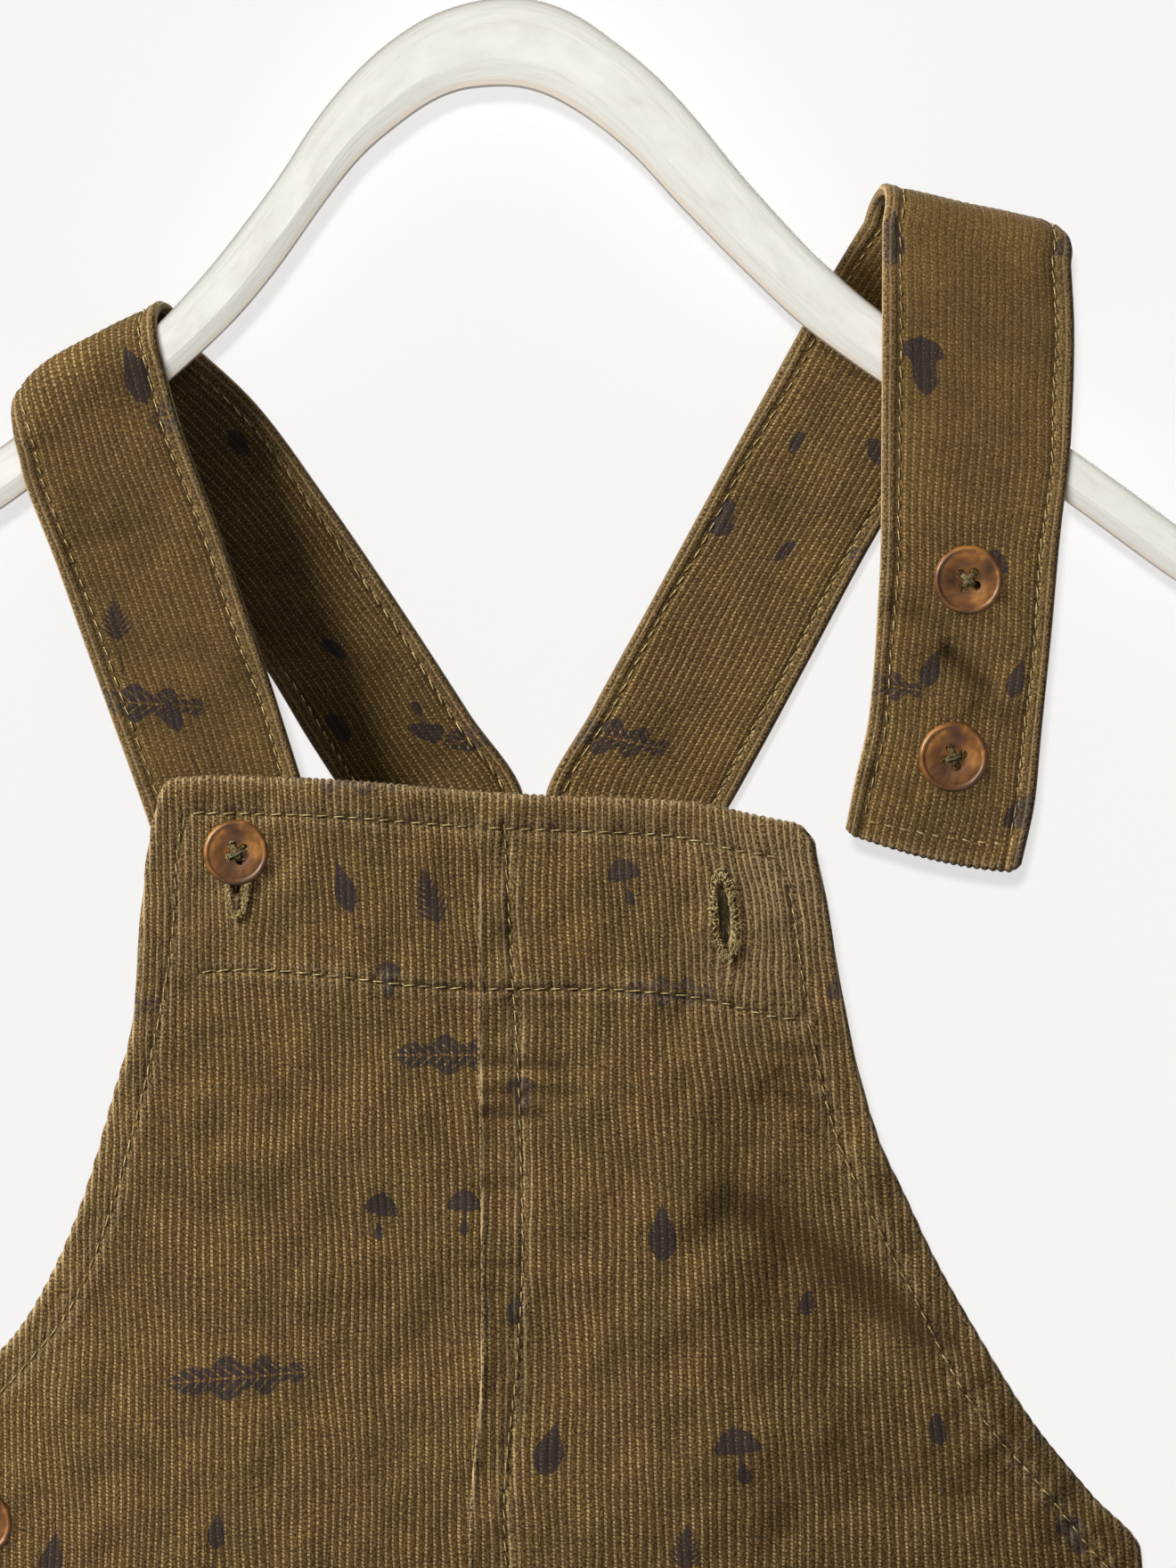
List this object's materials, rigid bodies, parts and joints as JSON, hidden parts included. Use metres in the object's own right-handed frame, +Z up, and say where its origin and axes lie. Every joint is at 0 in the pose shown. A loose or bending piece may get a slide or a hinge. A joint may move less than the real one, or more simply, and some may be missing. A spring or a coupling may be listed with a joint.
{
  "type": "toddler bib overalls on a clothes hanger",
  "caption": "Corduroy bib overalls for a toddler, hung by their straps on an arched wooden hanger with a wire hook; one strap buttoned, the other left as a loop.",
  "frame": {"origin": "inner top of the hanger's hook, where the rail goes", "axes": "+Z up, -Y the way the bib faces, +X to the right of a viewer in front"},
  "size_m": [0.3262, 0.0366, 0.7869],
  "materials": {
    "corduroy": "fine-wale cotton corduroy, soft matt pile with a faint sheen",
    "horn": "horn-brown, polished",
    "painted_wood": "white paint, brushed, satin",
    "steel_wire": "bright wire"
  },
  "bodies": {
    "root": {"front_left": "corduroy", "front_right": "corduroy", "back_left": "corduroy", "back_right": "corduroy", "strap_left": "corduroy", "strap_right": "corduroy", "button_left_upper": "horn", "button_left_lower": "horn", "button_right_upper": "horn", "button_right_lower": "horn", "button_side_left": "horn", "button_side_right": "horn", "hanger": "painted_wood", "hook": "steel_wire"}
  },
  "joints": []
}
